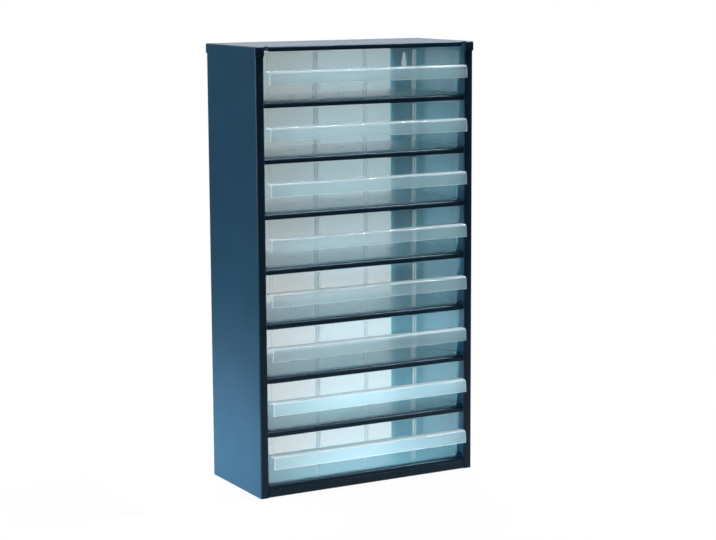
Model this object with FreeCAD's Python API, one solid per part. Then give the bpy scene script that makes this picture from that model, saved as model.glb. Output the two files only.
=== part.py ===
"""Small-parts cabinet: a folded steel shell with one column of clear moulded drawers."""
import FreeCAD, Part
import math
import os

V = FreeCAD.Vector

# Frame: X to the right, Y to the back, Z up; the origin is on the floor under the middle of the cabinet.
# All sizes are in millimetres.

# Shell
DRAWER_COUNT = 8
SHELL_WIDTH = 306.0         # over the two side panels
SHELL_DEPTH = 139.0         # front of the posts to the rear faces
SHELF_PITCH = 67.5          # one drawer bay to the next
BASE_HEIGHT = 15.0          # floor to the top of the lowest shelf
SHEET = 1.0                 # steel thickness
BEND = 2.0                  # outer radius of a fold
POST_WIDTH = 11.2           # front flange of a side panel, beside the drawers
POST_RETURN = 5.0           # its edge, folded back into the cabinet
REAR_FLANGE = 41.0          # rear flange of a side panel; the back is open between the two

# Keyholes in the rear flanges, for hanging on a wall
KEYHOLE_DROP = 20.5         # top of the cabinet to the middle of the narrow end
KEYHOLE_LENGTH = 15.5       # middle of the narrow end to the middle of the wide end
KEYHOLE_NARROW = 2.0        # radius of the narrow end
KEYHOLE_WIDE = 4.25         # radius of the wide end

# Shelves, base and lid
LIP = 6.3                   # height of the front lip of a shelf and of the lid
LIP_RECESS = 1.5            # lip of a shelf behind the front of the posts
LIP_END_GAP = 0.4           # end of a shelf's lip or the base's front flange to the post beside it
LIP_CORNER = 3.0            # radius of the lower corners of the lid's lip
SHELF_FLANGE = 5.0          # side and rear flanges of a shelf, welded to the panels
NOTCH = 3.0                 # corner relief between two flanges of a sheet
POST_CLEARANCE = 1.0        # folded edge of a post to the sheets that reach the side panels behind it
BASE_FRONT = 10.5           # height of the base's front flange
BASE_FLANGE = 8.0           # its side and rear flanges
LID_SKIRT = 12.0            # height of the lid's skirts, which cover the tops of the posts as well
LID_END_GAP = 5.5           # end of the lid's front lip to the post beside it
HEM = 3.5                   # height of the edge folded back inside the lid's lip
HEM_SPACE = 0.2             # between the two layers of that hem
LID_GAP = 0.1               # skirt to side panel

# Drawers
SLIDE_GAP = 0.2             # underside of a drawer to its shelf
RIM_GAP = 0.6               # rim to the lip above it
SIDE_GAP = 1.4              # rim to the post
FRONT_RECESS = 3.5          # rim behind the front of the posts
REAR_GAP = 0.6              # rim to the rear flanges, which stop it
DRAFT = 2.5                 # how far each wall leans in from rim to floor
WALL = 1.6
FLOOR = 1.8
CORNER = 8.0                # outer radius of the upright corners, at the rim
FOOT_BEVEL = 2.0            # between walls and underside
HANDLE_TOP = 38.0           # underside of the drawer to the top of the pull
HANDLE_PROUD = 9.8          # face of the pull in front of the posts
HANDLE_LIP = 16.0           # height of the pull's hanging lip
HANDLE_WALL = 1.8
HANDLE_BEND = 3.2           # outer radius between ledge and lip
HANDLE_INSET = 2.4          # end of the pull inside the rim
HANDLE_FLARE = 0.9          # how far each end widens from ledge to lower edge
SLOT_PITCH = 70.0           # divider slots, from the middle outwards
SLOT_GAP = 2.1              # between the two ribs of a slot
RIB_WIDTH = 1.2
RIB_DEPTH = 2.2
RIB_DROP = 2.0              # rim to the top of a rib
PIP_SPACING = 5.5           # the two pips that hold the foot of a divider
PIP_WIDTH = 1.5
PIP_HEIGHT = 1.0
STOP_LENGTH = 12.0          # tab on each side wall that meets the lip above when the drawer is out
STOP_HEIGHT = 3.5
STOP_SLOPE = 4.0            # how far the tab's rear edge leans forward

# Sizes that follow
HEIGHT = BASE_HEIGHT + DRAWER_COUNT * SHELF_PITCH
LID_OVERHANG = SHEET + LID_GAP
FRONT = HANDLE_PROUD - (HANDLE_PROUD + SHELL_DEPTH + LID_OVERHANG) / 2
REAR = FRONT + SHELL_DEPTH
HALF_WIDTH = SHELL_WIDTH / 2
POST_EDGE = HALF_WIDTH - POST_WIDTH
INSIDE_HALF = HALF_WIDTH - SHEET
INSIDE_REAR = REAR - SHEET
DRAWER_HEIGHT = SHELF_PITCH - LIP - RIM_GAP - SLIDE_GAP
RIM_HALF = POST_EDGE - SIDE_GAP
RIM_FRONT = FRONT + FRONT_RECESS
RIM_REAR = INSIDE_REAR - REAR_GAP
RIM_DEPTH_HALF = (RIM_REAR - RIM_FRONT) / 2
DRAWER_MIDDLE = (RIM_REAR + RIM_FRONT) / 2
MARGIN = 1.0                # how far a cutting shape reaches past what it cuts
TOUCHING = 1e-6             # points nearer than this are one point


def in_plan(u, v):
    return V(u, v, 0)


def in_side_view(u, v):
    return V(0, u, v)


def in_front_view(u, v):
    return V(u, 0, v)


def box(x0, x1, y0, y1, z0, z1):
    return Part.makeBox(x1 - x0, y1 - y0, z1 - z0, V(x0, y0, z0))


def heading(a, b):
    """Unit direction from a to b."""
    length = math.hypot(b[0] - a[0], b[1] - a[1])
    return (b[0] - a[0]) / length, (b[1] - a[1]) / length


def turn(before, after):
    """Signed angle between two directions, positive to the left."""
    cross = before[0] * after[1] - before[1] * after[0]
    dot = before[0] * after[0] + before[1] * after[1]
    return math.atan2(cross, dot)


def moved_left(points, distance):
    """The corners of a path moved sideways to its left."""
    ways = [heading(a, b) for a, b in zip(points, points[1:])]
    ways = [ways[0]] + ways + [ways[-1]]
    moved = []
    for point, before, after in zip(points, ways, ways[1:]):
        lean = distance * math.tan(turn(before, after) / 2)
        moved.append((point[0] - distance * before[1] - lean * before[0],
                      point[1] + distance * before[0] - lean * before[1]))
    return moved


def rounded_path(points, radii, place):
    """Edges along a path, with an arc of the given radius at each inner corner."""
    edges = []
    start = points[0]
    for before, corner, after, radius in zip(points, points[1:], points[2:], radii):
        way_in = heading(before, corner)
        way_out = heading(corner, after)
        angle = abs(turn(way_in, way_out))
        reach = radius * math.tan(angle / 2)
        arc_start = (corner[0] - reach * way_in[0], corner[1] - reach * way_in[1])
        arc_end = (corner[0] + reach * way_out[0], corner[1] + reach * way_out[1])
        inward = heading((0, 0), (way_out[0] - way_in[0], way_out[1] - way_in[1]))
        depth = radius / math.cos(angle / 2) - radius
        arc_middle = (corner[0] + depth * inward[0], corner[1] + depth * inward[1])
        if math.dist(start, arc_start) > TOUCHING:
            edges.append(Part.LineSegment(place(*start), place(*arc_start)).toShape())
        edges.append(Part.Arc(place(*arc_start), place(*arc_middle), place(*arc_end)).toShape())
        start = arc_end
    edges.append(Part.LineSegment(place(*start), place(*points[-1])).toShape())
    return edges


def folded_sheet(points, place, run, thickness=SHEET, bends=None):
    """Sheet with its outer face along the points and its thickness to their left, extruded by run."""
    bends = bends or [BEND] * (len(points) - 2)
    inner = moved_left(points, thickness)
    edges = rounded_path(points, bends, place)
    edges += rounded_path(inner, [bend - thickness for bend in bends], place)
    edges.append(Part.LineSegment(place(*points[0]), place(*inner[0])).toShape())
    edges.append(Part.LineSegment(place(*points[-1]), place(*inner[-1])).toShape())
    section = Part.Face(Part.Wire(Part.__sortEdges__(edges)))
    return section.extrude(run)


def polygon(points, place, run):
    return Part.Face(Part.makePolygon([place(*point) for point in points + points[:1]])).extrude(run)


def along_x(shape, start):
    return shape.translated(V(start, 0, 0))


def keyhole(x):
    """Teardrop cutter through a rear flange, narrow end up."""
    top = HEIGHT - KEYHOLE_DROP
    low = top - KEYHOLE_LENGTH
    slant = math.asin((KEYHOLE_WIDE - KEYHOLE_NARROW) / KEYHOLE_LENGTH)
    y = INSIDE_REAR - MARGIN

    def tangent_point(side, centre, radius):
        return V(x + side * radius * math.cos(slant), y, centre + radius * math.sin(slant))

    upper_left = tangent_point(-1, top, KEYHOLE_NARROW)
    upper_right = tangent_point(1, top, KEYHOLE_NARROW)
    lower_right = tangent_point(1, low, KEYHOLE_WIDE)
    lower_left = tangent_point(-1, low, KEYHOLE_WIDE)
    edges = [
        Part.Arc(upper_left, V(x, y, top + KEYHOLE_NARROW), upper_right).toShape(),
        Part.LineSegment(upper_right, lower_right).toShape(),
        Part.Arc(lower_right, V(x, y, low - KEYHOLE_WIDE), lower_left).toShape(),
        Part.LineSegment(lower_left, upper_left).toShape(),
    ]
    return Part.Face(Part.Wire(edges)).extrude(V(0, SHEET + 2 * MARGIN, 0))


def right_side_panel():
    """Post with its folded edge, side and rear flange, all one sheet."""
    outline = [
        (POST_EDGE, FRONT + POST_RETURN),
        (POST_EDGE, FRONT),
        (HALF_WIDTH, FRONT),
        (HALF_WIDTH, REAR),
        (HALF_WIDTH - REAR_FLANGE, REAR),
    ]
    panel = folded_sheet(outline, in_plan, V(0, 0, HEIGHT - BEND))
    return panel.cut(keyhole(HALF_WIDTH - REAR_FLANGE / 2))


def shelf():
    """A shelf with its top face at Z 0: lip in front, flanges turned down at the sides and the rear."""
    front = FRONT + LIP_RECESS
    half = POST_EDGE - LIP_END_GAP
    section = [(INSIDE_REAR, -SHELF_FLANGE), (INSIDE_REAR, 0), (front, 0), (front, -LIP)]
    tongue = along_x(folded_sheet(section, in_side_view, V(2 * half, 0, 0)), -half)
    across = [
        (INSIDE_HALF, -SHELF_FLANGE),
        (INSIDE_HALF, 0),
        (-INSIDE_HALF, 0),
        (-INSIDE_HALF, -SHELF_FLANGE),
    ]
    return tongue.fuse(between_posts_and_notch(across)).removeSplitter()


def between_posts_and_notch(section):
    """The part of a shelf or the base that reaches the side panels, behind the posts."""
    start = FRONT + POST_RETURN + POST_CLEARANCE
    plate = folded_sheet(section, in_front_view, V(0, INSIDE_REAR - NOTCH - start, 0))
    return plate.translated(V(0, start, 0))


def base_panel():
    """The pan under the lowest shelf, its flanges turned up."""
    half = POST_EDGE - LIP_END_GAP
    section = [(FRONT, BASE_FRONT), (FRONT, 0), (INSIDE_REAR, 0), (INSIDE_REAR, BASE_FLANGE)]
    tongue = along_x(folded_sheet(section, in_side_view, V(2 * half, 0, 0)), -half)
    across = [
        (-INSIDE_HALF, BASE_FLANGE),
        (-INSIDE_HALF, 0),
        (INSIDE_HALF, 0),
        (INSIDE_HALF, BASE_FLANGE),
    ]
    return tongue.fuse(between_posts_and_notch(across)).removeSplitter()


def lid_shell():
    """The lid's top and skirts, with its outer edges rounded."""
    half = HALF_WIDTH + LID_OVERHANG
    front = FRONT - LID_OVERHANG
    rear = REAR + LID_OVERHANG
    low = HEIGHT - LID_SKIRT
    cap = box(-half, half, front, rear, low, HEIGHT)
    cap = cap.makeFillet(BEND, [edge for edge in cap.Edges if edge.BoundBox.ZMax > low + MARGIN])
    inside = half - SHEET
    return cap.cut(box(-inside, inside, front + SHEET, rear - SHEET, low - MARGIN, HEIGHT - SHEET))


def lid_lip():
    """The lid's front lip between the posts, with its lower edge folded back inside."""
    front = FRONT - LID_OVERHANG
    half = POST_EDGE - LID_END_GAP
    low = HEIGHT - LIP
    back = front + 2 * SHEET + HEM_SPACE
    section = [(front + BEND + MARGIN, HEIGHT), (front, HEIGHT), (front, low), (back, low), (back, low + HEM)]
    hem = (back - front) / 2
    lip = along_x(folded_sheet(section, in_side_view, V(2 * half, 0, 0), SHEET, [BEND, hem, hem]), -half)
    corners = [(-half, HEIGHT), (-half, low), (half, low), (half, HEIGHT)]
    edges = rounded_path(corners, [LIP_CORNER, LIP_CORNER], in_front_view)
    edges.append(Part.LineSegment(in_front_view(half, HEIGHT), in_front_view(-half, HEIGHT)).toShape())
    mask = Part.Face(Part.Wire(edges)).extrude(V(0, LID_SKIRT, 0))
    return lip.common(mask.translated(V(0, front - MARGIN, 0)))


def top_panel():
    """Pressed lid: skirts outside the sides, rear and posts, and a hemmed lip over the top drawer."""
    front = FRONT - LID_OVERHANG
    between_posts = box(-POST_EDGE, POST_EDGE, front - MARGIN, front + BEND, 0, HEIGHT + MARGIN)
    return lid_shell().cut(between_posts).fuse(lid_lip()).removeSplitter()


def lean(z):
    """How far a drawer's wall stands in from the rim at height z."""
    return DRAFT * (1 - z / DRAWER_HEIGHT)


def tapered_block(inset, bottom, top):
    """Drawer-shaped block, moved in from the outer walls, with its upright corners rounded."""
    def leaning_sides(half):
        low = half - lean(bottom) - inset
        high = half - lean(top) - inset
        return [(-low, bottom), (low, bottom), (high, top), (-high, top)]

    reach_x = RIM_HALF + MARGIN
    reach_y = RIM_DEPTH_HALF + MARGIN
    across = polygon(leaning_sides(RIM_HALF), in_front_view, V(0, 2 * reach_y, 0))
    along = polygon(leaning_sides(RIM_DEPTH_HALF), in_side_view, V(2 * reach_x, 0, 0))
    block = across.translated(V(0, -reach_y, 0)).common(along_x(along, -reach_x))
    upright = [edge for edge in block.Edges if edge.BoundBox.ZLength > MARGIN]
    return block.makeFillet(CORNER - inset, upright)


def pull():
    """Ledge and hanging lip across the drawer's front; the ledge runs on into the rounded corners."""
    wall_face = -RIM_DEPTH_HALF + lean(HANDLE_TOP)
    face = FRONT - HANDLE_PROUD - DRAWER_MIDDLE
    low = HANDLE_TOP - HANDLE_LIP
    section = [(wall_face + CORNER, HANDLE_TOP), (face, HANDLE_TOP), (face, low)]
    half = RIM_HALF - HANDLE_INSET
    wide = half + HANDLE_FLARE
    strip = folded_sheet(section, in_side_view, V(2 * wide, 0, 0), HANDLE_WALL, [HANDLE_BEND])
    ends = [(-half, HANDLE_TOP), (-wide, low), (wide, low), (half, HANDLE_TOP)]
    mask = polygon(ends, in_front_view, V(0, 2 * RIM_DEPTH_HALF, 0))
    return along_x(strip, -wide).common(mask.translated(V(0, face - MARGIN, 0)))


def divider_slots():
    """Ribs on the front and rear walls and pips on the floor, for dividers."""
    top = DRAWER_HEIGHT - RIB_DROP
    foot = FLOOR / 2

    def wall(z):
        return -RIM_DEPTH_HALF + lean(z) + WALL

    outline = [
        (wall(foot) - WALL / 2, foot),
        (wall(foot) + RIB_DEPTH, foot),
        (wall(top) + RIB_DEPTH, top),
        (wall(top) - WALL / 2, top),
    ]
    rib = polygon(outline, in_side_view, V(RIB_WIDTH, 0, 0))
    half_pip = PIP_WIDTH / 2
    pip = box(-half_pip, half_pip, -half_pip, half_pip, foot, FLOOR + PIP_HEIGHT)
    pieces = []
    for column in (-1, 0, 1):
        middle = column * SLOT_PITCH
        for side in (-1, 1):
            front_rib = along_x(rib, middle + side * (SLOT_GAP + RIB_WIDTH) / 2 - RIB_WIDTH / 2)
            pieces.append(front_rib)
            pieces.append(front_rib.mirror(V(0, 0, 0), V(0, 1, 0)))
            pieces.append(along_x(pip, middle + side * PIP_SPACING / 2))
    return pieces


def stop_tabs():
    """Tabs that stand up from the side walls near the rear."""
    back = RIM_DEPTH_HALF - CORNER
    top = DRAWER_HEIGHT + STOP_HEIGHT
    outline = [
        (back, DRAWER_HEIGHT),
        (back - STOP_SLOPE, top),
        (back - STOP_LENGTH, top),
        (back - STOP_LENGTH, DRAWER_HEIGHT),
    ]
    tab = along_x(polygon(outline, in_side_view, V(WALL, 0, 0)), RIM_HALF - WALL)
    return [tab, tab.mirror(V(0, 0, 0), V(1, 0, 0))]


def drawer():
    """Moulded tub with its pull, divider slots and stops, its underside at Z 0."""
    tub = tapered_block(0, 0, DRAWER_HEIGHT)
    tub = tub.makeChamfer(FOOT_BEVEL, [edge for edge in tub.Edges if edge.BoundBox.ZMax < MARGIN])
    tub = tub.fuse(pull()).cut(tapered_block(WALL, FLOOR, DRAWER_HEIGHT + MARGIN))
    return tub.multiFuse(divider_slots() + stop_tabs()).removeSplitter()


def main():
    os.makedirs("parts", exist_ok=True)
    right = right_side_panel()
    parts = {
        "right_side_panel": right,
        "left_side_panel": right.mirror(V(0, 0, 0), V(1, 0, 0)),
        "top_panel": top_panel(),
        "base_panel": base_panel(),
    }
    one_shelf = shelf()
    one_drawer = drawer()
    for bay in range(DRAWER_COUNT):
        floor = BASE_HEIGHT + bay * SHELF_PITCH
        parts["shelf_%d" % (bay + 1)] = one_shelf.translated(V(0, 0, floor))
        parts["drawer_%d" % (bay + 1)] = one_drawer.translated(V(0, DRAWER_MIDDLE, floor + SLIDE_GAP))
    for name, shape in parts.items():
        print(name, len(shape.Solids), shape.isValid(), round(shape.Volume))
        shape.exportStep("parts/%s.step" % name)


main()
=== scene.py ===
"""Looks of the small-parts cabinet: powder-coated steel shell, clear moulded drawers, white studio."""
import bmesh
import bpy
import math
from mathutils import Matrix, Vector


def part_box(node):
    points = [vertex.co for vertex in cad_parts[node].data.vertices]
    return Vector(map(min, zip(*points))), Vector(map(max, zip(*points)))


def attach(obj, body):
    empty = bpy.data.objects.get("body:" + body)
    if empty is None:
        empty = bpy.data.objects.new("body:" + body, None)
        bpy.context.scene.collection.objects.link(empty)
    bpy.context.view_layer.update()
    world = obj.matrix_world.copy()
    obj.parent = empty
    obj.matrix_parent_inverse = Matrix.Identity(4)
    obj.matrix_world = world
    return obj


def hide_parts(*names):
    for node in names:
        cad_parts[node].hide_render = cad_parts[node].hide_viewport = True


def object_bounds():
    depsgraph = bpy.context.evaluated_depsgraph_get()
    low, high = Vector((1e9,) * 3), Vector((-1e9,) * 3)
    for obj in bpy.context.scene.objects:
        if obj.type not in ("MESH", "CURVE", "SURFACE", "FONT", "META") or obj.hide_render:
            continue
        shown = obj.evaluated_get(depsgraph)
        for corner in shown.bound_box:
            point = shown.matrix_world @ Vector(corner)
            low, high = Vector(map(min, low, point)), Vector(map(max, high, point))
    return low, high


MM = 0.001                      # the scene is in metres
WHITE = (1, 1, 1, 1)

# Drawer moulding: sizes that its CAD solid has as well
FRONT_RECESS = 3.5 * MM         # rim behind the front of the posts
DRAFT = 2.5 * MM                # how far each wall leans in from rim to floor
WALL = 1.6 * MM
FLOOR = 1.8 * MM
CORNER = 8 * MM                 # outer radius of the upright corners
HANDLE_TOP = 38 * MM            # underside of the drawer to the top of the pull
HANDLE_LIP = 16 * MM            # height of the pull's hanging lip
HANDLE_WALL = 1.8 * MM
HANDLE_BEND = 3.2 * MM          # outer radius between ledge and lip
HANDLE_INSET = 2.4 * MM         # end of the pull inside the rim
HANDLE_FLARE = 0.9 * MM         # how far each end widens from ledge to lower edge
SLOT_PITCH = 70 * MM            # divider slots, from the middle outwards
SLOT_GAP = 2.1 * MM             # between the two ribs of a slot
RIB_WIDTH = 1.2 * MM
RIB_DEPTH = 2.2 * MM
RIB_DROP = 2 * MM               # rim to the top of a rib
PIP_SPACING = 5.5 * MM          # the two pips that hold the foot of a divider
PIP_HEIGHT = 1 * MM
STOP_LENGTH = 12 * MM           # tab near the rear end of each side wall
STOP_HEIGHT = 3.5 * MM
STOP_SLOPE = 4 * MM             # how far the tab's rear edge leans forward

# Drawer moulding: rounds that are too fine for its CAD solid
FOOT_ROUND = 3 * MM             # outer radius between walls and underside
INNER_ROUND = 1.2 * MM          # radius between walls and floor, inside
RIM_ROUND = 0.55 * MM           # both edges of the rim
PIP_RADIUS = 0.75 * MM
MOULD_EDGE = 0.25 * MM          # softened edges of ribs, pull and tabs

# Meshes
CORNER_STEPS = 12
ROUND_STEPS = 5
PIP_SIDES = 12
SUNK = 0.6 * MM                 # how far a rib, pip or tab reaches into the wall that carries it
CLEAR = 2 * MM                  # how far the hollowing shape reaches past the rim
SHEET_EDGE = 0.18 * MM          # softened edges of the cut sheet
SHARP_ANGLE = 40                # edges that turn by more degrees than this are softened
SOFT_SEGMENTS = 2
FLAT_WEIGHT = 100               # the largest faces set the shading normals
WELD = 0.002 * MM               # points of a sheet that lie nearer than this are joined

# Both materials
POLYMER_IOR = 1.45              # of the powder coat and of the drawers
NOISE_SPAN = (0.3, 0.7)         # most of a noise texture's values lie between these
EDGE_SAMPLES = 6
EDGE_TURN = (0.98, 0.86)        # cosines of the rounded normal's turn where an edge starts and is full

# Powder coat
PAINT_DARK = (0.0135, 0.064, 0.120, 1)
PAINT_LIGHT = (0.0158, 0.0713, 0.1335, 1)
# paler paint along edges: partly wear, partly a painted highlight
PAINT_WORN_HIGHLIGHT = (0.12, 0.24, 0.34, 1)
WEAR_AND_HIGHLIGHT_BAND = 0.7 * MM            # band of paler paint along edges
PEEL_DEPTH = 0.12 * MM
PEEL_STRENGTH = 0.16
GRAIN_SHARE = 0.35              # height of the fine grain, against the orange peel's
PAINT_ROUGHNESS = (0.36, 0.46)

# Clear plastic: colours of the light that comes through and of the light that its haze scatters
TINT_DEEP = (0.94, 0.87, 0.81, 1)
TINT_PALE = (0.97, 0.90, 0.84, 1)
# painted shade on the pips and close round them
PIP_PAINTED_SHADE = (0.02, 0.04, 0.05, 1)
LAMP_TINT = (0.97, 0.98, 0.98, 1)
WALL_SCATTER = (0.26, 0.76, 1.0, 1)
PULL_SCATTER = (0.56, 0.85, 1.0, 1)
# near-white scatter along edges: a painted highlight
EDGE_HIGHLIGHT_SCATTER = (0.92, 0.98, 1.0, 1)

# Clear plastic: share of haze in each place, and share of that haze which is lit from behind
WALL_HAZE = 0.065
FLOOR_HAZE = 0.1
FRONT_HAZE = 0.18
PULL_HAZE = 0.29
# more haze along the edges, for their painted highlight
EDGE_HIGHLIGHT_HAZE = 0.12
PULL_EDGE_HIGHLIGHT_HAZE = 0.85
WALL_BACKLIT = 0.7
PULL_BACKLIT = 0.85

# Clear plastic: surface and places
POLISHED = (0.02, 0.05)         # roughness of the walls
TEXTURED = 0.32                 # roughness of the floor's inside
# the edge band and the top of the pull are painted paler, a painted highlight
EDGE_HIGHLIGHT_BAND = 1.5 * MM            # band of paler plastic along edges
BROW_HIGHLIGHT = 0.55                     # how much the top of the pull counts as an edge
# the dark spot is a painted shade
PIP_SHADE_SPOT = (1.5 * PIP_RADIUS, 2 * PIP_RADIUS)   # where the dark spot of a pip fades out

# Studio floor; each look fades between two distances, in metres from the middle of the cabinet
FLOOR_REACH = 30                # half the floor's width
FLOOR_GAP = 0.2 * MM            # floor to the cabinet's underside
PAPER_SEEN = (0.82, 0.82, 0.82, 1)      # what the camera sees of the shadow
PAPER_BOUNCED = (0.18, 0.18, 0.18, 1)   # for bounced light
PAPER_FAR = (0.05, 0.05, 0.05, 1)
PAPER_FADE = (0.5, 1.1)
SHADOW_WHITE = 0.94             # share of plain white beside the cabinet; the rest shows the shadow
SHADOW_FADE = (0.25, 0.6)
THROUGH_NEAR = (1.0, 0.89, 0.86, 1)     # seen through plastic
THROUGH_FAR = (0.50, 0.49, 0.47, 1)
THROUGH_FADE = (0.3, 3.0)
MIRROR_NEAR = (0.46, 0.49, 0.52, 1)     # mirrored in paint or plastic
MIRROR_FAR = (0.04, 0.04, 0.05, 1)
MIRROR_FADE = (0.2, 1.6)

# Studio backdrop
BACKDROP_SIDE = (0.48, 0.88, 0.0)       # towards the lit backdrop
BACKDROP_FADE = (0.6, 0.95)             # cosines from that side between which it fades in
DIM_ROOM = 0.02                         # strength of the other sides

# Camera, solved on the photograph's edges
IMAGE_WIDTH = 716
FOCAL_PIXELS = 1911.1
SENSOR = 36.0
CAMERA_PLACE = (-1.1561, -2.1206, 0.6477)
CAMERA_TURN = (81.0, 0.296, -29.087)

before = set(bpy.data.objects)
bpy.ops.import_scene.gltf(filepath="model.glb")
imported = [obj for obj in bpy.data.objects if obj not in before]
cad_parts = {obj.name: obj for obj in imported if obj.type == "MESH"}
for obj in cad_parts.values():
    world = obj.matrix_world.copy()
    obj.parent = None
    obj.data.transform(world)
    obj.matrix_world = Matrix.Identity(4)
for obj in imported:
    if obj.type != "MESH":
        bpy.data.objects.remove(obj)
cad_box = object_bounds()
STEEL = [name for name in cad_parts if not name.startswith("drawer")]
DRAWERS = sorted(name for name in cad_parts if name.startswith("drawer"))

# Places that follow from the frame
drawer_low, drawer_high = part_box("drawer_1")
UNDERSIDE = drawer_low.z
DRAWER_HEIGHT = drawer_high.z - STOP_HEIGHT - UNDERSIDE
RIM_HALF = drawer_high.x
RIM_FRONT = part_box("left_side_panel")[0].y + FRONT_RECESS
RIM_REAR = drawer_high.y
RIM_DEPTH_HALF = (RIM_REAR - RIM_FRONT) / 2
DRAWER_MIDDLE = (RIM_REAR + RIM_FRONT) / 2
PULL_FACE = drawer_low.y
CABINET_LOW, CABINET_HIGH = cad_box


def lean(z):
    """How far a drawer's wall stands in from the rim, z above its underside."""
    return DRAFT * (1 - z / DRAWER_HEIGHT)


def arc(steps):
    """Angles that divide a quarter turn."""
    return [math.pi / 2 * step / steps for step in range(steps + 1)]


def plan(inset, z):
    """Points round a drawer's plan at height z, moved in from its outer walls."""
    radius = CORNER - inset
    reach_x = RIM_HALF - lean(z) - CORNER
    reach_y = RIM_DEPTH_HALF - lean(z) - CORNER
    points = []
    for quarter, (side_x, side_y) in enumerate(((1, 1), (-1, 1), (-1, -1), (1, -1))):
        for angle in arc(CORNER_STEPS):
            turned = angle + quarter * math.pi / 2
            points.append((side_x * reach_x + radius * math.cos(turned),
                           DRAWER_MIDDLE + side_y * reach_y + radius * math.sin(turned),
                           UNDERSIDE + z))
    return points


def block(profile):
    """Closed mesh through plans given as (inset, z), lowest first."""
    mesh = bmesh.new()
    rings = [[mesh.verts.new(point) for point in plan(inset, z)] for inset, z in profile]
    for below, above in zip(rings, rings[1:]):
        for here in range(len(below)):
            before = here - 1
            mesh.faces.new((below[before], below[here], above[here], above[before]))
    mesh.faces.new(rings[0])
    mesh.faces.new(rings[-1])
    return mesh


def prism(mesh, outline, half_width, middle=0.0):
    """Adds a side-view outline (y, z above the underside), as wide as half_width(z) says."""
    rows = []
    for side in (-1, 1):
        rows.append([mesh.verts.new((middle + side * half_width(z), y, UNDERSIDE + z)) for y, z in outline])
    left, right = rows
    for here in range(len(outline)):
        mesh.faces.new((left[here - 1], left[here], right[here], right[here - 1]))
    mesh.faces.new(left)
    mesh.faces.new(right)


def made_object(name, mesh):
    """Scene object of a finished bmesh."""
    bmesh.ops.recalc_face_normals(mesh, faces=mesh.faces)
    data = bpy.data.meshes.new(name)
    mesh.to_mesh(data)
    mesh.free()
    made = bpy.data.objects.new(name, data)
    bpy.context.scene.collection.objects.link(made)
    return made


def apply_modifiers(piece):
    """Makes what a piece's modifiers do part of its mesh."""
    bpy.context.view_layer.update()
    evaluated = piece.evaluated_get(bpy.context.evaluated_depsgraph_get())
    piece.data = bpy.data.meshes.new_from_object(evaluated)
    piece.modifiers.clear()


def combine(piece, other, operation):
    """Joins another object to a piece, or cuts it from the piece, and removes the other."""
    modifier = piece.modifiers.new(operation, "BOOLEAN")
    modifier.operation = operation
    modifier.solver = "EXACT"
    modifier.object = other
    apply_modifiers(piece)
    bpy.data.objects.remove(other)


def soften(piece, width):
    """Rounds a piece's sharp edges so that they catch the light."""
    bevel = piece.modifiers.new("soft edges", "BEVEL")
    bevel.width = width
    bevel.segments = SOFT_SEGMENTS
    bevel.limit_method = "ANGLE"
    bevel.angle_limit = math.radians(SHARP_ANGLE)


def keep_flats(piece):
    """Gives large flat faces their own shading normal, so that only the rounds between them blend."""
    flats = piece.modifiers.new("flat faces", "WEIGHTED_NORMAL")
    flats.mode = "FACE_AREA"
    flats.weight = FLAT_WEIGHT


def solid_tub():
    """The drawer's outer form, filled, with its foot and rim rounded."""
    profile = [(FOOT_ROUND * (1 - math.sin(a)), FOOT_ROUND * (1 - math.cos(a))) for a in arc(ROUND_STEPS)]
    profile += [(RIM_ROUND * (1 - math.cos(a)), DRAWER_HEIGHT - RIM_ROUND * (1 - math.sin(a)))
                for a in arc(ROUND_STEPS)]
    return made_object("tub", block(profile))


def hollow():
    """The drawer's inside, flared at the rim to round that edge, too."""
    profile = [(WALL + INNER_ROUND * (1 - math.sin(a)), FLOOR + INNER_ROUND * (1 - math.cos(a)))
               for a in arc(ROUND_STEPS)]
    profile += [(WALL - RIM_ROUND * (1 - math.cos(a)), DRAWER_HEIGHT - RIM_ROUND * (1 - math.sin(a)))
                for a in arc(ROUND_STEPS)]
    profile.append((WALL - RIM_ROUND, DRAWER_HEIGHT + CLEAR))
    return made_object("hollow", block(profile))


def pull():
    """Ledge and hanging lip across the drawer's front; the ledge's root runs into the corners."""
    root = RIM_FRONT + lean(HANDLE_TOP) + CORNER
    low = HANDLE_TOP - HANDLE_LIP
    centre_y = PULL_FACE + HANDLE_BEND
    centre_z = HANDLE_TOP - HANDLE_BEND

    def bend(radius):
        return [(centre_y - radius * math.sin(a), centre_z + radius * math.cos(a))
                for a in arc(ROUND_STEPS)]

    outline = [(root, HANDLE_TOP)] + bend(HANDLE_BEND)
    outline += [(PULL_FACE, low), (PULL_FACE + HANDLE_WALL, low)]
    outline += bend(HANDLE_BEND - HANDLE_WALL)[::-1] + [(root, HANDLE_TOP - HANDLE_WALL)]
    mesh = bmesh.new()
    prism(mesh, outline, lambda z: RIM_HALF - HANDLE_INSET + HANDLE_FLARE * (HANDLE_TOP - z) / HANDLE_LIP)
    return made_object("pull", mesh)


def rib_outline(side):
    """Side view of a divider rib on the front wall (side -1) or the rear wall (side 1)."""
    foot = FLOOR - SUNK
    top = DRAWER_HEIGHT - RIB_DROP

    def wall(z, inward):
        return DRAWER_MIDDLE + side * (RIM_DEPTH_HALF - lean(z) - WALL - inward)

    return [(wall(foot, -SUNK), foot), (wall(foot, RIB_DEPTH), foot),
            (wall(top, RIB_DEPTH), top), (wall(top, -SUNK), top)]


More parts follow.
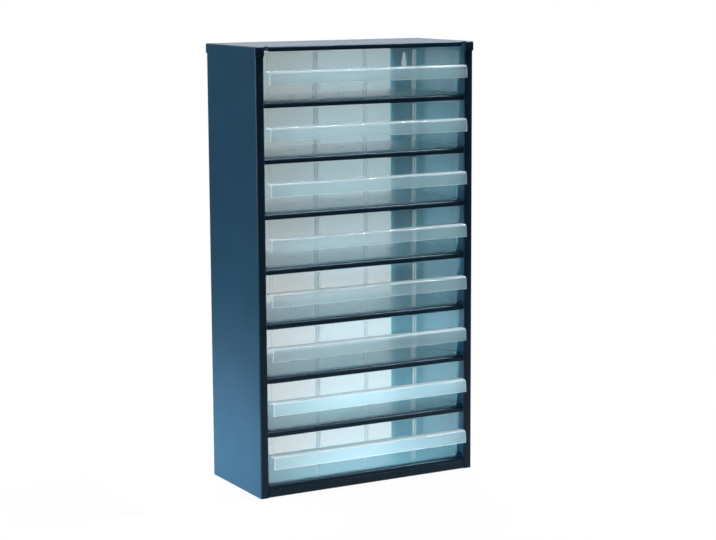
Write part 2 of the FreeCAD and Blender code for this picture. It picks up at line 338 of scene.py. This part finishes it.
def fittings():
    """Divider ribs and pips, and the stop tabs near the rear."""
    mesh = bmesh.new()
    pip_lift = Vector((0, 0, (PIP_HEIGHT - SUNK) / 2))
    for column in (-1, 0, 1):
        for side in (-1, 1):
            middle = column * SLOT_PITCH + side * (SLOT_GAP + RIB_WIDTH) / 2
            for wall in (-1, 1):
                prism(mesh, rib_outline(wall), lambda z: RIB_WIDTH / 2, middle)
            pip_x = column * SLOT_PITCH + side * PIP_SPACING / 2
            pip_place = Vector((pip_x, DRAWER_MIDDLE, UNDERSIDE + FLOOR))
            pip = bmesh.ops.create_cone(mesh, cap_ends=True, segments=PIP_SIDES, radius1=PIP_RADIUS,
                                        radius2=PIP_RADIUS, depth=SUNK + PIP_HEIGHT)
            bmesh.ops.translate(mesh, verts=pip["verts"], vec=pip_place + pip_lift)
    back = RIM_REAR - CORNER
    foot = DRAWER_HEIGHT - SUNK
    top = DRAWER_HEIGHT + STOP_HEIGHT
    tab = [(back, foot), (back - STOP_SLOPE, top), (back - STOP_LENGTH, top), (back - STOP_LENGTH, foot)]
    for side in (-1, 1):
        prism(mesh, tab, lambda z: WALL / 2 - RIM_ROUND / 2, side * (RIM_HALF - WALL / 2))
    return made_object("fittings", mesh)


def moulded_drawer():
    """Mesh of one drawer, a single closed moulding in the place of drawer 1."""
    tub = solid_tub()
    combine(tub, pull(), "UNION")
    combine(tub, hollow(), "DIFFERENCE")
    combine(tub, fittings(), "UNION")
    soften(tub, MOULD_EDGE)
    apply_modifiers(tub)
    tub.data.shade_smooth()
    keep_flats(tub)
    apply_modifiers(tub)
    data = tub.data
    bpy.data.objects.remove(tub)
    return data


def node(tree, kind, values=None, **settings):
    """New shader node; a socket among the values is linked, anything else is set."""
    made = tree.nodes.new("ShaderNode" + kind)
    for name, value in settings.items():
        setattr(made, name, value)
    for name, value in (values or {}).items():
        if isinstance(value, bpy.types.NodeSocket):
            tree.links.new(value, made.inputs[name])
        else:
            made.inputs[name].default_value = value
    return made


def empty_material(name):
    """New material without nodes, and its node tree."""
    made = bpy.data.materials.new(name)
    made.use_nodes = True
    made.node_tree.nodes.clear()
    return made, made.node_tree


def maths(tree, operation, *values):
    """Result of a Math node on sockets and numbers."""
    return node(tree, "Math", dict(enumerate(values)), operation=operation).outputs[0]


def noise(tree, place, scale, detail):
    """Noise texture, with its values round 0.5."""
    return node(tree, "TexNoise", {"Vector": place, "Scale": scale, "Detail": detail}).outputs["Fac"]


def blend_colours(tree, share, first, second):
    """Colour between the first, at share 0, and the second, at share 1."""
    mix = node(tree, "Mix", {0: share, 6: first, 7: second}, data_type="RGBA")
    return mix.outputs[2]


def blend_shaders(tree, share, first, second):
    """Surface between the first shader node, at share 0, and the second, at share 1."""
    return node(tree, "MixShader", {0: share, 1: first.outputs[0], 2: second.outputs[0]})


def spread(tree, value, low, high, to_low, to_high):
    """A value's range mapped to another range, held at its ends."""
    values = {"Value": value, "From Min": low, "From Max": high, "To Min": to_low, "To Max": to_high}
    return node(tree, "MapRange", values, interpolation_type="SMOOTHSTEP").outputs["Result"]


def near_edges(tree, radius):
    """Mask that rises to 1 along a piece's outer edges."""
    rounded = node(tree, "Bevel", {"Radius": radius}, samples=EDGE_SAMPLES).outputs["Normal"]
    flat = node(tree, "NewGeometry").outputs["Normal"]
    facing = node(tree, "VectorMath", {0: rounded, 1: flat}, operation="DOT_PRODUCT").outputs["Value"]
    return spread(tree, facing, *EDGE_TURN, 0, 1)


def powder_coat():
    """Dark blue powder coat: fine orange peel, slight clouding, edges paler from wear and from a painted
    highlight.
    """
    made, tree = empty_material("blue_powder_coat")
    place = node(tree, "TexCoord").outputs["Object"]
    cloud = noise(tree, place, scale=22, detail=3)
    peel = noise(tree, place, scale=420, detail=1)
    grain = noise(tree, place, scale=1700, detail=2)
    height = maths(tree, "MULTIPLY_ADD", grain, GRAIN_SHARE, peel)
    bump = node(tree, "Bump", {"Height": height, "Strength": PEEL_STRENGTH, "Distance": PEEL_DEPTH})
    clouding = spread(tree, cloud, *NOISE_SPAN, 0, 1)
    colour = blend_colours(tree, clouding, PAINT_DARK, PAINT_LIGHT)
    # edges painted paler: partly wear, partly a painted highlight
    wear_and_highlight = maths(tree, "MULTIPLY", near_edges(tree, WEAR_AND_HIGHLIGHT_BAND), cloud)
    colour = blend_colours(tree, wear_and_highlight, colour, PAINT_WORN_HIGHLIGHT)
    surface = node(tree, "BsdfPrincipled", {
        "Base Color": colour,
        "Roughness": spread(tree, peel, *NOISE_SPAN, *PAINT_ROUGHNESS),
        "Normal": bump.outputs["Normal"],
        "IOR": POLYMER_IOR,
        "Specular IOR Level": 0.38,
        "Coat Weight": 0.15,
        "Coat Roughness": 0.15,
    })
    node(tree, "OutputMaterial", {"Surface": surface.outputs[0]})
    return made


def pip_shade_mask(tree, across):
    """Mask of the pips on a drawer's floor and of the plastic close round them, where a shade is painted."""
    column = maths(tree, "WRAP", across["X"], SLOT_PITCH / 2, -SLOT_PITCH / 2)
    side = maths(tree, "ABSOLUTE", column)
    place = node(tree, "CombineXYZ", {"X": side, "Y": across["Y"]}).outputs[0]
    centre = (PIP_SPACING / 2, DRAWER_MIDDLE, 0)
    distance = node(tree, "VectorMath", {0: place, 1: centre}, operation="DISTANCE").outputs["Value"]
    return spread(tree, distance, *PIP_SHADE_SPOT, 1, 0)


def clear_plastic():
    """Clear moulded plastic whose faint haze scatters blue and lets warmer light through.

    The thick pull and the front wall are milkier than the thin walls behind them. Edges and the top of
    the pull are painted palest, a painted highlight; the pips and the plastic round them are painted
    dark, a painted shade; and the inside of the floor is textured. Most of the haze is lit from behind.
    Lamp light and light that matt surfaces bounce pass straight through, so that they reach the walls
    behind. The masks' places are those of drawer 1, whose mesh all the drawers share.
    """
    made, tree = empty_material("clear_moulded_plastic")
    place = node(tree, "TexCoord").outputs["Object"]
    flow = noise(tree, place, scale=28, detail=2)
    speckle = noise(tree, place, scale=240, detail=2)
    across = node(tree, "SeparateXYZ", {0: place}).outputs
    floor_top = UNDERSIDE + FLOOR
    pull_top = UNDERSIDE + HANDLE_TOP
    on_pull = spread(tree, across["Y"], RIM_FRONT, RIM_FRONT - HANDLE_WALL, 0, 1)
    on_front = spread(tree, across["Y"], RIM_FRONT + DRAFT + WALL, RIM_FRONT + 2 * (DRAFT + WALL), 1, 0)
    on_floor = spread(tree, across["Z"], floor_top + PIP_HEIGHT / 2, floor_top + PIP_HEIGHT, 1, 0)
    # the top of the pull and the edges get a painted highlight
    brow_highlight = spread(tree, across["Z"], pull_top - HANDLE_WALL, pull_top, 0, BROW_HIGHLIGHT)
    brow_highlight = maths(tree, "MULTIPLY", brow_highlight, on_pull)
    edges = maths(tree, "MAXIMUM", near_edges(tree, EDGE_HIGHLIGHT_BAND), brow_highlight)
    low = spread(tree, across["Z"], floor_top + PIP_HEIGHT, floor_top + 2 * PIP_HEIGHT, 1, 0)
    # painted shade on the pips
    pips = maths(tree, "MULTIPLY", pip_shade_mask(tree, across), low)
    tint = blend_colours(tree, flow, TINT_DEEP, TINT_PALE)
    wall_roughness = spread(tree, speckle, *NOISE_SPAN, *POLISHED)
    clear = node(tree, "BsdfPrincipled", {
        "Base Color": blend_colours(tree, pips, tint, PIP_PAINTED_SHADE),
        "Roughness": spread(tree, on_floor, 0, 1, wall_roughness, TEXTURED),
        "IOR": POLYMER_IOR,
        "Transmission Weight": 1.0,
    })
    scatter = blend_colours(tree, on_pull, WALL_SCATTER, PULL_SCATTER)
    # near-white scatter along edges: painted highlight
    scatter = blend_colours(tree, edges, scatter, EDGE_HIGHLIGHT_SCATTER)
    front_haze = node(tree, "BsdfDiffuse", {"Color": scatter})
    back_haze = node(tree, "BsdfTranslucent", {"Color": scatter})
    backlit = spread(tree, on_pull, 0, 1, WALL_BACKLIT, PULL_BACKLIT)
    haze = blend_shaders(tree, backlit, front_haze, back_haze)
    milkiness = spread(tree, on_floor, 0, 1, WALL_HAZE, FLOOR_HAZE)
    milkiness = spread(tree, on_front, 0, 1, milkiness, FRONT_HAZE)
    milkiness = spread(tree, on_pull, 0, 1, milkiness, PULL_HAZE)
    # more haze along the edges: painted highlight
    edge_highlight_haze = spread(tree, on_pull, 0, 1, EDGE_HIGHLIGHT_HAZE, PULL_EDGE_HIGHLIGHT_HAZE)
    milkiness = spread(tree, edges, 0, 1, milkiness, edge_highlight_haze)
    milkiness = spread(tree, pips, 0, 1, milkiness, 0)
    body = blend_shaders(tree, milkiness, clear, haze)
    path = node(tree, "LightPath").outputs
    lamp_ray = maths(tree, "MAXIMUM", path["Is Shadow Ray"], path["Is Diffuse Ray"])
    through = node(tree, "BsdfTransparent", {"Color": LAMP_TINT})
    both = blend_shaders(tree, lamp_ray, body, through)
    node(tree, "OutputMaterial", {"Surface": both.outputs[0]})
    return made


def studio_floor():
    """Floor that the camera sees as white, with a faint shadow beside the cabinet.

    Seen through plastic it is pale and mirrored it is grey, both falling off with distance as a lit
    studio floor does. For bounced light it is dark paper, so that little light comes back up from it.
    """
    made, tree = empty_material("studio_floor")
    path = node(tree, "LightPath").outputs
    place = node(tree, "TexCoord").outputs["Object"]
    distance = node(tree, "VectorMath", {0: place}, operation="LENGTH").outputs["Value"]
    paper = blend_colours(tree, path["Is Camera Ray"], PAPER_BOUNCED, PAPER_SEEN)
    paper = blend_colours(tree, spread(tree, distance, *PAPER_FADE, 0, 1), paper, PAPER_FAR)
    lit = node(tree, "BsdfDiffuse", {"Color": paper})
    near_white = spread(tree, distance, *SHADOW_FADE, SHADOW_WHITE, 1.0)
    shown = maths(tree, "MULTIPLY", path["Is Camera Ray"], near_white)
    shown = maths(tree, "MAXIMUM", shown, path["Is Transmission Ray"])
    shown = maths(tree, "MAXIMUM", shown, path["Is Glossy Ray"])
    through_away = spread(tree, distance, *THROUGH_FADE, 0, 1)
    seen_through = blend_colours(tree, through_away, THROUGH_NEAR, THROUGH_FAR)
    mirror_away = spread(tree, distance, *MIRROR_FADE, 0, 1)
    mirrored = blend_colours(tree, mirror_away, MIRROR_NEAR, MIRROR_FAR)
    colour = blend_colours(tree, path["Is Transmission Ray"], mirrored, seen_through)
    colour = blend_colours(tree, path["Is Camera Ray"], colour, WHITE)
    white = node(tree, "Emission", {"Color": colour, "Strength": 1.0})
    both = blend_shaders(tree, shown, lit, white)
    node(tree, "OutputMaterial", {"Surface": both.outputs[0]})
    return made


def studio_world():
    """White for the camera and through plastic; mirrored or as light, white on the backdrop's side only."""
    world = bpy.data.worlds.new("studio")
    bpy.context.scene.world = world
    world.use_nodes = True
    tree = world.node_tree
    tree.nodes.clear()
    path = node(tree, "LightPath").outputs
    direction = node(tree, "TexCoord").outputs["Generated"]
    facing = node(tree, "VectorMath", {0: direction, 1: BACKDROP_SIDE}, operation="DOT_PRODUCT")
    backdrop = spread(tree, facing.outputs["Value"], *BACKDROP_FADE, DIM_ROOM, 1.0)
    white = maths(tree, "MAXIMUM", path["Is Camera Ray"], path["Is Transmission Ray"])
    strength = node(tree, "Mix", {0: white, 2: backdrop, 3: 1.0}).outputs[0]
    background = node(tree, "Background", {"Color": WHITE, "Strength": strength})
    node(tree, "OutputWorld", {"Surface": background.outputs[0]})


def soft_lamp(name, place, target, size, power, mirrored=True, beam=180):
    """Softbox of a size in metres and a power in watts, whose beam, in degrees, faces a target.

    Paint and plastic show the box itself only if it is mirrored.
    """
    light = bpy.data.lights.new(name, "AREA")
    light.shape = "RECTANGLE"
    light.size, light.size_y = size
    light.energy = power
    light.spread = math.radians(beam)
    lamp = bpy.data.objects.new(name, light)
    lamp.location = place
    lamp.visible_camera = False
    lamp.visible_glossy = mirrored
    lamp.visible_transmission = mirrored
    lamp.rotation_euler = (Vector(target) - Vector(place)).to_track_quat("-Z", "Y").to_euler()
    bpy.context.scene.collection.objects.link(lamp)


def studio():
    """Floor, backdrop and lamps.

    The top box and the two left strips light the shell, the back box and the low strip behind it light the
    drawers' haze, the inner strip lights the inside of the right panel, and the edge strip grazes the pulls.
    """
    mesh = bmesh.new()
    bmesh.ops.create_grid(mesh, x_segments=1, y_segments=1, size=FLOOR_REACH)
    floor = made_object("floor", mesh)
    floor.location.z = CABINET_LOW.z - FLOOR_GAP
    floor.data.materials.append(studio_floor())
    studio_world()
    middle = (CABINET_LOW + CABINET_HIGH) / 2
    left = CABINET_LOW.x
    soft_lamp("top_softbox", (-0.1, 0.9, 1.9), middle, size=(1.4, 0.9), power=14)
    soft_lamp("back_softbox", (0.6, 1.9, 0.42), middle, size=(2.0, 0.8), power=46, mirrored=False)
    soft_lamp("low_back_strip", (0.0, 0.5, 0.03), (0, 0, 0.05), size=(0.7, 0.06), power=5, mirrored=False)
    soft_lamp("inner_strip", (-0.14, 0.26, 0.30), (0.14, 0.03, 0.30), size=(0.04, 0.58), power=0.55,
              mirrored=False, beam=40)
    soft_lamp("edge_strip", (0.93, -0.135, 1.9), (0.0, -0.075, 0.3), size=(0.08, 0.95), power=42)
    soft_lamp("left_strip", (-1.3, 0.03, 0.58), middle, size=(0.15, 0.9), power=9)
    soft_lamp("low_left_strip", (left - 0.15, 0.03, 0.025), (left, 0.03, 0.05), size=(0.25, 0.03), power=0.6,
              mirrored=False)


def photo_camera():
    """Camera where the photograph was taken from."""
    data = bpy.data.cameras.new("camera")
    data.sensor_width = SENSOR
    data.lens = FOCAL_PIXELS * SENSOR / IMAGE_WIDTH
    camera = bpy.data.objects.new("camera", data)
    camera.location = CAMERA_PLACE
    camera.rotation_euler = [math.radians(angle) for angle in CAMERA_TURN]
    bpy.context.scene.collection.objects.link(camera)
    bpy.context.scene.camera = camera


def dress_shell():
    """Powder coat and softened edges for the CAD sheets."""
    coat = powder_coat()
    for name in STEEL:
        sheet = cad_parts[name]
        sheet.data.materials.clear()
        sheet.data.materials.append(coat)
        weld = sheet.modifiers.new("weld", "WELD")
        weld.merge_threshold = WELD
        soften(sheet, SHEET_EDGE)
        keep_flats(sheet)


def dress_drawers():
    """A moulded drawer in the place of each CAD drawer; all share one mesh, lifted from drawer 1's place."""
    data = moulded_drawer()
    data.materials.clear()
    data.materials.append(clear_plastic())
    for name in DRAWERS:
        piece = bpy.data.objects.new(name + "_moulding", data)
        piece.location.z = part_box(name)[0].z - UNDERSIDE
        bpy.context.scene.collection.objects.link(piece)
        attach(piece, name + "_body")
        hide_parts(name)


dress_shell()
dress_drawers()
studio()
photo_camera()
bpy.context.scene.view_settings.view_transform = "Standard"
